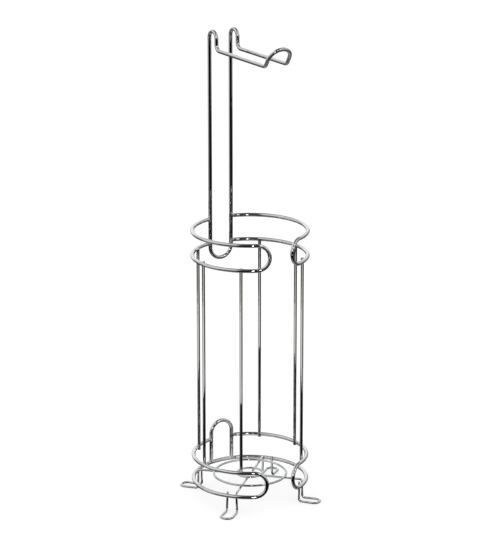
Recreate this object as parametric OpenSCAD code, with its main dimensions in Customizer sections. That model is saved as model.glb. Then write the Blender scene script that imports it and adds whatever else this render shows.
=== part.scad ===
// Free-standing wire stand for toilet rolls, bent and welded from chromed
// steel wire. A round column of rings and struts stores the spare rolls and a
// hooked double arm above it carries the roll in use.
// Millimetres. Z points up, the arm points to -Y, the column axis is the Z
// axis and the stand rests on z = 0 on the loops of its four wire feet.
// Angles round the column are counted from the front, -Y, towards +X.

/* [Wire] */
// Diameter of the heavy wire in the bands, the rear arch and the dispenser
heavy_wire = 5; // [4.4:0.2:5.4]
// Diameter of the six upright struts
strut_wire = 4; // [3:0.2:5]
// Diameter of the thin wire in the feet and the two base rings
thin_wire = 2.8; // [2.2:0.2:3.4]
// How deep one wire sinks into the wire it is welded to
weld_bite = 0.3; // [0.1:0.05:0.45]
// How much the upset metal of a butt weld stands out round the wire
weld_flare = 0.7; // [0.3:0.1:1]
// Length of the cone of upset metal at a butt weld
weld_flare_length = 2; // [1:0.25:3]
// How far a butting wire stops short of the centre of the wire it meets
butt_stop = 1.5; // [0.9:0.1:1.8]
// Bevel on the cut end of a wire
end_bevel = 0.4; // [0.2:0.1:0.6]
// How much thinner a wire is drawn out in its bends
bend_thinning = 0.04; // [0.04:0.02:0.12]

/* [Column] */
// Radius of the rings, from the column axis to the centre of the wire
ring_radius = 72.5; // [68:0.5:78]
// Height of the lowest ring above the floor, to the centre of the wire
low_ring_height = 23.5; // [18:0.5:30]
// Height of each band between the centres of its two rings
band_height = 32.2; // [26:0.2:40]
// Clear rise from the upper ring of the low band to the lower ring of the top band
band_spacing = 266; // [180:2:330]
// Angle from the front at which the rings of the top band start their end bend
top_gap_angle = 25.2; // [22:0.4:34]
// Angle from the front at which the rings of the low band start their end bend
low_gap_angle = 27.6; // [22:0.4:34]

/* [Struts] */
// Angle of the two front struts from the front of the column
front_strut_angle = 41.3; // [38:0.3:60]
// Angle of the two side struts
side_strut_angle = 90; // [75:1:105]
// Angle of the two rear struts
rear_strut_angle = 137.7; // [120:0.3:150]
// How far a strut runs past the centre of the ring it is welded to
strut_overrun = 2.2; // [1:0.2:5]

/* [Dispenser] */
// Distance between the centres of the two uprights
upright_spacing = 30.8; // [24:0.4:36]
// Height of the whole stand, to the top of the hooks
overall_height = 600; // [560:2:640]
// Radius of the hook over which each upright turns forward
hook_radius = 8.4; // [6:0.2:11]
// Drop from the top of the hook to the arm, both at the centre of the wire
arm_drop = 22.7; // [20:0.3:32]
// Radius of the bend from the drop into the arm
arm_bend_radius = 7.4; // [4:0.2:9]
// How far the straight part of the arm stops short of the front of the rings
arm_inset = 16.4; // [10:0.2:30]
// Angle at which the end loop turns up from the arm
tip_angle = 58; // [40:1:75]
// Radius of the bend where the end loop turns up
tip_bend_radius = 6.2; // [4:0.2:9]
// Straight wire between that bend and the round of the end loop
tip_straight = 7; // [2:0.5:12]
// Drop of the yoke below the lower ring of the top band
yoke_drop = 20.8; // [17:0.2:30]

/* [Rear arch] */
// Rise of the arch above the upper ring of the low band
arch_rise = 23; // [17:0.5:40]

/* [Base rings] */
// Radius of the large base ring to the centre of the wire
large_ring_radius = 46.6; // [38:0.2:54]
// Radius of the small base ring to the centre of the wire
small_ring_radius = 16.5; // [12:0.5:24]

/* [Feet] */
// Angle of the front left spoke from the front of the column
spoke_angle = 46.5; // [40:0.5:50]
// Height of the spokes above the centre of the lowest ring
spoke_rise = 3; // [2.4:0.2:5]
// How far a spoke runs on inside the small base ring
spoke_overrun = 2.5; // [1.5:0.25:5]
// Distance between the two legs of a foot at the height of its spoke
leg_spacing_top = 11.6; // [8:0.2:13]
// Distance between the two legs of a foot at the floor
leg_spacing_floor = 13.8; // [11:0.2:15]
// Width of the foot loop on the floor, between the centres of the wire
loop_width = 16; // [15.6:0.2:20]
// Distance from the column axis to the tip of the foot loop
loop_reach = 94.3; // [86:0.5:110]
// Radius of the two corners of the foot loop
loop_corner_radius = 7.2; // [4:0.2:7.2]
// Radius of the bend from the spoke down into the leg
shoulder_radius = 3; // [2:0.2:5]
// Radius of the bend from the leg out along the floor
ankle_radius = 4; // [3:0.25:6]
// Height of the cut end of the second leg above the centre of the lowest ring
stub_rise = 4.3; // [2:0.1:7]

/* [Hidden] */
// Sides of a round wire and steps round a full ring, for the screen mesh only
wire_sides = 24;
ring_steps = 144;
// Length over which a bend reaches into the straight wire on either side
bend_lead = 0.2;
// Turns of a wire that bends square, or comes back on itself
quarter_turn = 90;
half_turn = 180;
half_spacing = upright_spacing / 2;
// Angle from the back, and distance behind the axis, of uprights and arch legs
upright_offset = asin(half_spacing / ring_radius);
upright_back = ring_radius * cos(upright_offset);
// Heights of the four heavy rings, to the centre of the wire
low_lower = low_ring_height;
low_upper = low_lower + band_height;
top_lower = low_upper + band_spacing;
top_upper = top_lower + band_height;
// A strut lies inside the rings, sunk into them by the weld bite
strut_radius = ring_radius - (heavy_wire + strut_wire) / 2 + weld_bite;
// The dispenser, from the top down
hook_top = overall_height - heavy_wire / 2;
drop_back = upright_back - 2 * hook_radius;
arm_reach = ring_radius - arm_inset;
yoke_centre = top_lower - yoke_drop + half_spacing;
// Base rings lie on the spokes
spoke_height = low_lower + spoke_rise;
base_ring_height = spoke_height + thin_wire - weld_bite;
// Each leg of a foot stands against the inside of the lowest ring
leg_radius = ring_radius - (heavy_wire + thin_wire) / 2 + weld_bite;
half_leg_top = leg_spacing_top / 2;
half_leg_floor = leg_spacing_floor / 2;
leg_out = sqrt(leg_radius * leg_radius - half_leg_top * half_leg_top);
// Height of the centre of a wire that lies on the floor
floor_wire = thin_wire / 2;
// Share of the way down the leg at which its cut end stands
stub_share = (spoke_rise - stub_rise) / (spoke_height - floor_wire);
stub_side = half_leg_top + (half_leg_floor - half_leg_top) * stub_share;
// Turn of a whole foot, so that its spoke points at the column axis
foot_turn = -spoke_angle - atan(half_leg_top / leg_out);
foot_count = 4;
foot_step = 360 / foot_count;

// Chromed finishes of the three wire gauges
heavy_chrome = [0.80, 0.81, 0.83];
strut_chrome = [0.74, 0.75, 0.77];
thin_chrome = [0.70, 0.71, 0.73];

// Columns of a bend table: straight feed, roll of the wire about itself, then
// the angle and the centre radius of the bend that follows
FEED = 0;
ROLL = 1;
TURN = 2;
RADIUS = 3;

function unit(v) = v / norm(v);
// How far a wire turns at corner b on its way from a to c
function turn_at(a, b, c) = acos(unit(b - a) * unit(c - b));
// Length that a bend of the given radius takes off each straight at corner b
function trim_at(a, b, c, radius) = radius * tan(turn_at(a, b, c) / 2);
// Normal of the plane in which the wire bends at corner i of a path
function bend_normal(p, i) = unit(cross(p[i] - p[i - 1], p[i + 1] - p[i]));
// Length taken off by the bend at corner i, none at the two ends of a path
function trim_of(p, radii, i) =
    i == 0 || i == len(p) - 1 ? 0 : trim_at(p[i - 1], p[i], p[i + 1], radii[i - 1]);
// Straight wire left between the bends at corners i and i + 1
function feed_of(p, radii, i) =
    norm(p[i + 1] - p[i]) - trim_of(p, radii, i) - trim_of(p, radii, i + 1);
// Roll of the wire between the bend at corner i - 1 and the one at corner i
function roll_of(p, i) = i < 2 ? 0 :
    let (n = bend_normal(p, i - 1), m = bend_normal(p, i))
    atan2(cross(n, m) * unit(p[i] - p[i - 1]), n * m);
// Bend table of a wire that follows a path of corner points
function bend_table(p, radii) = [
    for (i = [1 : len(p) - 1])
        i == len(p) - 1
            ? [feed_of(p, radii, i - 1)]
            : [feed_of(p, radii, i - 1), roll_of(p, i),
                turn_at(p[i - 1], p[i], p[i + 1]), radii[i - 1]]];

// Places its children in the frame with the given axes and origin
module place(x, y, z, origin)
    multmatrix([
        [x.x, y.x, z.x, origin.x],
        [x.y, y.y, z.y, origin.y],
        [x.z, y.z, z.z, origin.z],
        [0, 0, 0, 1]])
        children();

// Round bend of a wire that arrives along +Z and turns towards +X. It reaches
// a little way into the straight wire before and after it.
module bend(turn, radius, wire) {
    lead = bend_lead / radius * half_turn / PI;
    translate([radius, 0, 0])
        rotate([90, 0, 180])
            rotate([0, 0, -lead])
                rotate_extrude(angle = turn + 2 * lead, $fn = ring_steps)
                    translate([radius, 0])
                        circle(d = wire - bend_thinning, $fn = wire_sides);
}

// Half of the outline of a straight wire, with a bevel of the given size on
// each of its ends
function rod_outline(length, radius, start, end) = [
    [0, 0], [radius - start, 0],
    if (start > 0) [radius, start],
    if (end > 0) [radius, length - end],
    [radius - end, length], [0, length]];

// Straight wire along +Z
module rod(length, wire, start = 0, end = 0)
    rotate_extrude($fn = wire_sides)
        polygon(rod_outline(length, wire / 2, start, end));

// Wire bent by a bend table, as a bending machine makes it: feed a straight,
// roll the wire, bend it, and go on from there. It starts along +Z. A table
// may end on a straight. The given bevel is on both of the wire's ends.
module wire_form(table, wire, bevel = 0, row = 0) {
    step = table[row];
    last = row == len(table) - 1;
    rod(step[FEED], wire, row == 0 ? bevel : 0, last ? bevel : 0);
    if (len(step) > RADIUS)
        translate([0, 0, step[FEED]])
            rotate([0, 0, step[ROLL]]) {
                bend(step[TURN], step[RADIUS], wire);
                if (!last)
                    translate([step[RADIUS] * (1 - cos(step[TURN])), 0,
                        step[RADIUS] * sin(step[TURN])])
                        rotate([0, step[TURN], 0])
                            wire_form(table, wire, bevel, row + 1);
            }
}

// Full ring of wire round the column axis
module ring(radius, height, wire)
    translate([0, 0, height])
        rotate_extrude($fn = ring_steps)
            translate([radius, 0])
                circle(d = wire, $fn = wire_sides);

// Part of a heavy ring between two angles from the front
module ring_arc(height, from, to)
    translate([0, 0, height])
        rotate([0, 0, from - 90])
            rotate_extrude(angle = to - from, $fn = ring_steps)
                translate([ring_radius, 0])
                    circle(d = heavy_wire, $fn = wire_sides);

// Half-round bend that joins the two rings of a band at the front gap. The wire
// leaves the upper ring towards the gap and comes back along the lower one.
module gap_bend(lower, angle)
    rotate([0, 0, angle])
        translate([0, -ring_radius, lower + band_height])
            place([0, 0, -1], [0, 1, 0], [-1, 0, 0], [0, 0, 0])
                bend(half_turn, band_height / 2, heavy_wire);

// Upset metal of a butt weld: a cone that comes out of the wire and opens
// along +Z towards the wire that is met
module flare(wire)
    cylinder(h = weld_flare_length, d1 = wire - weld_flare, d2 = wire + 2 * weld_flare,
        $fn = wire_sides);

// Right-hand arc of a ring that butts against the upright or arch leg behind,
// with its weld flare
module butted_arc(height, from) {
    stop_angle = half_turn - upright_offset - asin(butt_stop / ring_radius);
    ring_arc(height, from, stop_angle);
    rotate([0, 0, stop_angle])
        translate([-weld_flare_length, -ring_radius, height])
            rotate([0, 90, 0])
                flare(heavy_wire);
}

// The two vertical wires on which the ring arcs end, from bottom to top
module upright_pair(bottom, top)
    for (side = [-1, 1])
        translate([side * half_spacing, upright_back, bottom])
            rod(top - bottom, heavy_wire);

// One half of the top band, on the +X side: one wire bent back on itself
module top_band_half()
    color(heavy_chrome)
        difference() {
            union() {
                butted_arc(top_upper, top_gap_angle);
                butted_arc(top_lower, top_gap_angle);
                gap_bend(top_lower, top_gap_angle);
            }
            upright_pair(top_lower - band_height, top_upper + band_height);
        }

module top_band_right() top_band_half();

module top_band_left() mirror([1, 0, 0]) top_band_half();

// Low band: one wire that starts on one arch leg, goes round the lower ring
// and ends on the other arch leg
module low_band()
    color(heavy_chrome)
        difference() {
            union() {
                ring_arc(low_lower, low_gap_angle, 360 - low_gap_angle);
                for (side = [0, 1])
                    mirror([side, 0, 0]) {
                        gap_bend(low_lower, low_gap_angle);
                        butted_arc(low_upper, low_gap_angle);
                    }
            }
            upright_pair(low_upper - band_height / 2, low_upper + band_height / 2);
        }

// Arch at the back, standing on the lowest ring
module rear_arch() {
    leg = low_upper + arch_rise - half_spacing - low_lower - butt_stop;
    color(heavy_chrome)
        difference() {
            union() {
                translate([-half_spacing, upright_back, low_lower + butt_stop])
                    wire_form([[leg, 0, half_turn, half_spacing], [leg]], heavy_wire);
                for (side = [-1, 1])
                    translate([side * half_spacing, upright_back,
                        low_lower + butt_stop + weld_flare_length])
                        mirror([0, 0, 1])
                            flare(heavy_wire);
            }
            ring(ring_radius, low_lower, heavy_wire);
        }
}

// Dispenser: one closed wire that makes the yoke, the two uprights, their
// hooks, the two arms and the upturned end loop
module dispenser() {
    tip_turn = [tip_straight, quarter_turn, half_turn, half_spacing];
    side_table = [
        [hook_top - hook_radius - yoke_centre, 0, half_turn, hook_radius],
        [arm_drop - hook_radius - arm_bend_radius, half_turn, quarter_turn,
            arm_bend_radius],
        [drop_back - arm_bend_radius + arm_reach, 0, tip_angle, tip_bend_radius]];
    color(heavy_chrome) {
        translate([-half_spacing, upright_back, yoke_centre])
            rotate([180, 0, 0])
                bend(half_turn, half_spacing, heavy_wire);
        translate([half_spacing, upright_back, yoke_centre])
            rotate([0, 0, -90])
                wire_form([each side_table, tip_turn], heavy_wire);
        translate([-half_spacing, upright_back, yoke_centre])
            rotate([0, 0, -90])
                wire_form([each side_table, [tip_straight]], heavy_wire);
    }
}

// Upright strut welded inside the upper ring of the low band and the lower
// ring of the top band
module strut(angle) {
    foot = low_upper - strut_overrun;
    head = top_lower + strut_overrun;
    color(strut_chrome)
        difference() {
            rotate([0, 0, angle])
                translate([0, -strut_radius, foot])
                    rod(head - foot, strut_wire, end_bevel, end_bevel);
            ring(ring_radius, low_upper, heavy_wire);
            ring(ring_radius, top_lower, heavy_wire);
        }
}

module strut_front_left() strut(-front_strut_angle);

module strut_side_left() strut(-side_strut_angle);

module strut_rear_left() strut(-rear_strut_angle);

module strut_front_right() strut(front_strut_angle);

module strut_side_right() strut(side_strut_angle);

module strut_rear_right() strut(rear_strut_angle);

// Straight run of the four spokes, used to seat the base rings on them
module spoke_lines()
    for (i = [0 : foot_count - 1])
        rotate([0, 0, i * foot_step - spoke_angle])
            translate([0, -small_ring_radius / 2, spoke_height])
                rotate([90, 0, 0])
                    rod(large_ring_radius, thin_wire);

// Ring of thin wire lying on the four spokes
module base_ring(radius)
    color(thin_chrome)
        difference() {
            ring(radius, base_ring_height, thin_wire);
            spoke_lines();
        }

module base_ring_large() base_ring(large_ring_radius);

module base_ring_small() base_ring(small_ring_radius);

// Foot: one wire that makes the spoke, the leg under it, the loop on the floor
// and the second leg, which ends in a cut stub above the lowest ring
module foot(index) {
    inner = small_ring_radius - spoke_overrun;
    path = [
        [inner * half_leg_top / leg_radius, -inner * leg_out / leg_radius, spoke_height],
        [half_leg_top, -leg_out, spoke_height],
        [half_leg_floor, -leg_out, floor_wire],
        [loop_width / 2, -loop_reach, floor_wire],
        [-loop_width / 2, -loop_reach, floor_wire],
        [-half_leg_floor, -leg_out, floor_wire],
        [-stub_side, -leg_out, low_lower + stub_rise]];
    radii = [shoulder_radius, ankle_radius, loop_corner_radius, loop_corner_radius,
        ankle_radius];
    start = unit(path[1] - path[0]);
    normal = bend_normal(path, 1);
    color(thin_chrome)
        rotate([0, 0, foot_turn + index * foot_step])
            difference() {
                place(cross(normal, start), normal, start, path[0])
                    wire_form(bend_table(path, radii), thin_wire, end_bevel);
                ring(ring_radius, low_lower, heavy_wire);
            }
}

module foot_front_left() foot(0);

module foot_front_right() foot(1);

module foot_rear_right() foot(2);

module foot_rear_left() foot(3);

dispenser();
top_band_left();
top_band_right();
low_band();
rear_arch();
strut_front_left();
strut_side_left();
strut_rear_left();
strut_front_right();
strut_side_right();
strut_rear_right();
base_ring_large();
base_ring_small();
foot_front_left();
foot_front_right();
foot_rear_right();
foot_rear_left();
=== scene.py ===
import math

import bmesh
import bpy
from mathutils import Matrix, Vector

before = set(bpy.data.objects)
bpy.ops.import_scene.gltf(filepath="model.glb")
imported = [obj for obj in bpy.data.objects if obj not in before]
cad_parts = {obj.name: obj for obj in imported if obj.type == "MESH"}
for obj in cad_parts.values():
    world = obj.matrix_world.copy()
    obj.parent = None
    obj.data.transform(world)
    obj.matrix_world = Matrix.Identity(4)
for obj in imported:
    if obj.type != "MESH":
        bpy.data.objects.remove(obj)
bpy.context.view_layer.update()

# Camera, at the photograph's viewing angle
CAMERA_AZIMUTH = math.radians(-31.934)
CAMERA_ELEVATION = math.radians(16.621)
CAMERA_DISTANCE = 3.19534
AIM = Vector((0.0, 0.0, 0.3015))
FOCAL_PIXELS = 2538.5
IMAGE_LONG_SIDE = 540
SENSOR = 36.0

# Each chrome's wire gauge and the height of the long wave in its surface, both in
# metres, and how the names of its CAD nodes begin
CHROMES = {
    "heavy_chrome": (0.005, 0.00015, ("dispenser", "top_band", "low_band", "rear_arch")),
    "strut_chrome": (0.004, 0.00005, ("strut_",)),
    "thin_chrome": (0.0028, 0.00022, ("base_ring", "foot_")),
}
SCRATCH_DEPTH = 0.00001
ROUGHNESS = (0.012, 0.05)
BRIGHT_TINT = (0.93, 0.94, 0.95)
DULL_TINT = (0.88, 0.89, 0.90)

WHITE = (1, 1, 1, 1)
BLACK = (0.002, 0.002, 0.003)
TENT = (0.68, 0.68, 0.685)

# The studio that the chrome mirrors, as soft-edged cards seen from the stand.
# Each card has its centre, its half width and half height, the softness of its
# upright and its level edges, all in degrees with the azimuth counted from the
# camera towards its right, and its brightness. Later cards cover earlier ones, and
# TENT is what no card covers.
CARDS = {
    "right_wall": (95, 0, 50, 91, 30, 1, (0.54, 0.54, 0.545)),
    "skirt": (0, -32, 181, 38, 1, 44, (0.18, 0.18, 0.18)),
    "ceiling": (0, 90, 181, 22, 1, 16, (0.12, 0.12, 0.12)),
    "ground": (0, -90, 181, 27, 1, 10, (0.2, 0.2, 0.2)),
    "upper_back": (160, 60, 60, 22, 30, 16, (0.12, 0.12, 0.12)),
    "backdrop": (-166, 11, 30, 19, 14, 8, (0.85, 0.85, 0.86)),
    "left_window": (-78, -8, 22, 12, 10, 5, (0.52, 0.52, 0.525)),
    "far_left": (-145, -27, 36, 13, 16, 8, (0.05, 0.05, 0.05)),
    "far_right": (108, -40, 44, 20, 20, 10, (0.06, 0.06, 0.06)),
    "camera_slot": (8, 41, 34, 51, 12, 12, (0.045, 0.045, 0.043)),
    "camera_foot": (14, -50, 50, 15, 14, 10, (0.015, 0.015, 0.015)),
    "left_gap": (-90, -16.5, 48, 1.0, 10, 0.6, (0.02, 0.02, 0.02)),
    "dark_room": (2, -11.2, 64, 6.7, 8, 1.0, BLACK),
    "table_side": (90, -15.9, 54, 3.0, 14, 0.8, (0.02, 0.02, 0.018)),
    "table_edge": (-21, -18.7, 52, 1.5, 18, 0.6, (0.58, 0.57, 0.535)),
    "table_far": (-4, -16.8, 40, 0.6, 12, 0.6, (0.43, 0.41, 0.365)),
    "table_front": (-8, -28.1, 80, 7.9, 10, 0.6, BLACK),
    "bow_window": (51, 19, 13, 7, 8, 4, (0.9, 0.9, 0.91)),
    "lens_shade": (2, -1, 42, 7, 10, 3, (0.004, 0.004, 0.004)),
    "flash": (5.5, 12, 2.0, 4.5, 0.8, 0.8, (14, 14, 14)),
    "side_lamp": (26, 24, 3, 5, 1.5, 1.5, (5, 5, 5)),
    "top_lamp": (44, 38, 5, 4, 1.5, 1.5, (4, 4, 4)),
}

# The light above the floor
SUN_ENERGY = 3.05
SUN_ANGLE = math.radians(120)

# Floor, in metres, and the share of its brightness that is its own glow
FLOOR_RADIUS = 14.0
FLOOR_COLOUR = (0.9, 0.9, 0.9, 1)
FLOOR_GLOW = 0.96
GLOW_SHARE = 0.65

# The grey disc under the base that the wire mirrors in place of the floor
FLOOR_CARD_RADIUS = 0.050
FLOOR_CARD_HEIGHT = -0.0005
FLOOR_CARD_LIGHT = (0.58, 0.58, 0.575)

# The black band that the wire mirrors below the floor's level, in metres
RIM_RADIUS = 0.48
RIM_TOP = -0.001
RIM_BOTTOM = -0.15
RIM_HALF_ANGLE = math.radians(66)
RIM_STEPS = 48


def add_camera():
    data = bpy.data.cameras.new("camera")
    data.sensor_fit = "AUTO"
    data.sensor_width = SENSOR
    data.lens = FOCAL_PIXELS * SENSOR / IMAGE_LONG_SIDE
    camera = bpy.data.objects.new("camera", data)
    back = Vector((
        math.sin(CAMERA_AZIMUTH) * math.cos(CAMERA_ELEVATION),
        -math.cos(CAMERA_AZIMUTH) * math.cos(CAMERA_ELEVATION),
        math.sin(CAMERA_ELEVATION)))
    camera.location = AIM + back * CAMERA_DISTANCE
    camera.rotation_mode = "QUATERNION"
    camera.rotation_quaternion = (-back).to_track_quat("-Z", "Y")
    data.clip_end = 100
    bpy.context.scene.collection.objects.link(camera)
    bpy.context.scene.camera = camera


class Graph:
    """Shader nodes of a world or material, added one call at a time."""

    def __init__(self, owner):
        owner.use_nodes = True
        self.tree = owner.node_tree
        self.tree.nodes.clear()

    def add(self, kind, inputs=(), **settings):
        made = self.tree.nodes.new(kind)
        for key, value in settings.items():
            setattr(made, key, value)
        for key, value in dict(inputs).items():
            if isinstance(value, bpy.types.NodeSocket):
                self.tree.links.new(value, made.inputs[key])
            else:
                made.inputs[key].default_value = value
        return made

    def math(self, operation, *values):
        return self.add("ShaderNodeMath", enumerate(values), operation=operation).outputs[0]

    def mix_colour(self, factor, first, second):
        made = self.add("ShaderNodeMix", data_type="RGBA")
        for key, value in ((0, factor), (6, first), (7, second)):
            if isinstance(value, bpy.types.NodeSocket):
                self.tree.links.new(value, made.inputs[key])
            elif key == 0:
                made.inputs[key].default_value = value
            else:
                made.inputs[key].default_value = (*value, 1)
        return made.outputs[2]

    def within(self, value, centre, half, soft):
        """1 where value lies within half of the centre, falling to 0 over the soft edge."""
        away = self.math("ABSOLUTE", self.math("SUBTRACT", value, centre))
        return self.add("ShaderNodeMapRange", {
            "Value": away, "From Min": half - soft / 2, "From Max": half + soft / 2,
            "To Min": 1.0, "To Max": 0.0}, interpolation_type="SMOOTHSTEP").outputs["Result"]


def add_studio():
    """World: white for what the camera sees, and the studio for what the wire mirrors."""
    world = bpy.data.worlds.new("studio")
    bpy.context.scene.world = world
    g = Graph(world)
    direction = g.add("ShaderNodeTexCoord").outputs["Generated"]
    axes = g.add("ShaderNodeSeparateXYZ", {0: direction})
    azimuth = g.math("DEGREES", g.math(
        "ARCTAN2", axes.outputs["X"], g.math("MULTIPLY", axes.outputs["Y"], -1.0)))
    from_camera = g.math("SUBTRACT", azimuth, math.degrees(CAMERA_AZIMUTH))
    elevation = g.math("DEGREES", g.math("ARCSINE", axes.outputs["Z"]))
    colour = TENT
    for card_az, card_el, half_az, half_el, soft_az, soft_el, light in CARDS.values():
        across = g.math("WRAP", g.math("SUBTRACT", from_camera, card_az), 180.0, -180.0)
        mask = g.math("MULTIPLY", g.within(across, 0.0, half_az, soft_az),
                      g.within(elevation, card_el, half_el, soft_el))
        colour = g.mix_colour(mask, colour, light)
    studio = g.add("ShaderNodeBackground", {"Color": colour, "Strength": 1.0})
    sweep = g.add("ShaderNodeBackground", {"Color": WHITE, "Strength": 1.0})
    seen_by_camera = g.add("ShaderNodeLightPath").outputs["Is Camera Ray"]
    shader = g.add("ShaderNodeMixShader", {
        0: seen_by_camera, 1: studio.outputs[0], 2: sweep.outputs[0]})
    g.add("ShaderNodeOutputWorld", {"Surface": shader.outputs[0]})


def add_light():
    """One wide soft light from above, for the floor."""
    data = bpy.data.lights.new("soft_light", "SUN")
    data.energy = SUN_ENERGY
    data.angle = SUN_ANGLE
    light = bpy.data.objects.new("soft_light", data)
    light.location = (0, 0, 2)
    light.visible_glossy = False
    bpy.context.scene.collection.objects.link(light)


def add_object(name, bm, material):
    """An object of one material from a bmesh, which it frees."""
    mesh = bpy.data.meshes.new(name)
    bm.to_mesh(mesh)
    bm.free()
    mesh.materials.append(material)
    made = bpy.data.objects.new(name, mesh)
    bpy.context.scene.collection.objects.link(made)
    return made


def add_disc(name, radius, height, material):
    bm = bmesh.new()
    bmesh.ops.create_circle(bm, cap_ends=True, segments=96, radius=radius)
    disc = add_object(name, bm, material)
    disc.location.z = height
    return disc


def emission(name, colour):
    material = bpy.data.materials.new(name)
    g = Graph(material)
    shader = g.add("ShaderNodeEmission", {"Color": (*colour, 1), "Strength": 1.0})
    g.add("ShaderNodeOutputMaterial", {"Surface": shader.outputs[0]})
    return material


def only_mirrored(card):
    """Only what mirrors sees this card: it is out of the picture and casts no shadow."""
    card.visible_camera = False
    card.visible_diffuse = False
    card.visible_shadow = False


def add_rim():
    """A black band below the floor's level, where the wire mirrors the dark front of
    what the stand is placed on. It is near, so the further back a strut stands, the
    higher up it mirrors the band's edge."""
    bm = bmesh.new()
    columns = []
    for i in range(RIM_STEPS + 1):
        angle = CAMERA_AZIMUTH + RIM_HALF_ANGLE * (2 * i / RIM_STEPS - 1)
        x, y = RIM_RADIUS * math.sin(angle), -RIM_RADIUS * math.cos(angle)
        columns.append([bm.verts.new((x, y, z)) for z in (RIM_BOTTOM, RIM_TOP)])
    for (low, high), (next_low, next_high) in zip(columns, columns[1:]):
        bm.faces.new((low, next_low, next_high, high))
    rim = add_object("rim_card", bm, emission("rim_card", BLACK))
    only_mirrored(rim)


def add_floor():
    """A pale sweep that glows a little, and the grey card that stands in for it in
    the wire."""
    pale = bpy.data.materials.new("pale_floor")
    g = Graph(pale)
    lit = g.add("ShaderNodeBsdfPrincipled", {
        "Base Color": FLOOR_COLOUR, "Roughness": 0.9, "Specular IOR Level": 0.0})
    glow = g.add("ShaderNodeEmission", {"Color": WHITE, "Strength": FLOOR_GLOW})
    shader = g.add("ShaderNodeMixShader", {
        0: GLOW_SHARE, 1: lit.outputs[0], 2: glow.outputs[0]})
    g.add("ShaderNodeOutputMaterial", {"Surface": shader.outputs[0]})
    floor = add_disc("floor", FLOOR_RADIUS, 0.0, pale)
    floor.visible_glossy = False

    grey = emission("floor_card", FLOOR_CARD_LIGHT)
    only_mirrored(add_disc("floor_card", FLOOR_CARD_RADIUS, FLOOR_CARD_HEIGHT, grey))


def chrome(name, wire, wave_height):
    """Bright chrome on drawn wire: a mirror with a faint long wave, fine scratches and
    patches where the polish is a little duller."""
    material = bpy.data.materials.new(name)
    g = Graph(material)
    place = g.add("ShaderNodeTexCoord").outputs["Object"]
    wave = g.add("ShaderNodeTexNoise", {
        "Vector": place, "Scale": 0.22 / wire, "Detail": 2.0, "Roughness": 0.5})
    scratch = g.add("ShaderNodeTexNoise", {
        "Vector": place, "Scale": 6.0 / wire, "Detail": 4.0, "Roughness": 0.7})
    patch = g.add("ShaderNodeTexNoise", {
        "Vector": place, "Scale": 0.5 / wire, "Detail": 3.0, "Roughness": 0.6})
    roughness = g.add("ShaderNodeMapRange", {
        "Value": patch.outputs["Fac"], "From Min": 0.35, "From Max": 0.75,
        "To Min": ROUGHNESS[0], "To Max": ROUGHNESS[1]}).outputs["Result"]
    tint = g.mix_colour(patch.outputs["Fac"], BRIGHT_TINT, DULL_TINT)
    long_bump = g.add("ShaderNodeBump", {
        "Strength": 1.0, "Distance": wave_height, "Height": wave.outputs["Fac"]})
    fine_bump = g.add("ShaderNodeBump", {
        "Strength": 0.15, "Distance": SCRATCH_DEPTH, "Height": scratch.outputs["Fac"],
        "Normal": long_bump.outputs["Normal"]})
    shader = g.add("ShaderNodeBsdfPrincipled", {
        "Base Color": tint, "Metallic": 1.0, "Roughness": roughness,
        "Normal": fine_bump.outputs["Normal"]})
    g.add("ShaderNodeOutputMaterial", {"Surface": shader.outputs[0]})
    return material


def dress(material, starts):
    for name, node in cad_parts.items():
        if name.startswith(starts):
            node.data.materials.clear()
            node.data.materials.append(material)


add_camera()
add_studio()
add_light()
add_floor()
add_rim()
for chrome_name, (gauge, wave_height, starts) in CHROMES.items():
    dress(chrome(chrome_name, gauge, wave_height), starts)

bpy.context.scene.view_settings.view_transform = "Standard"
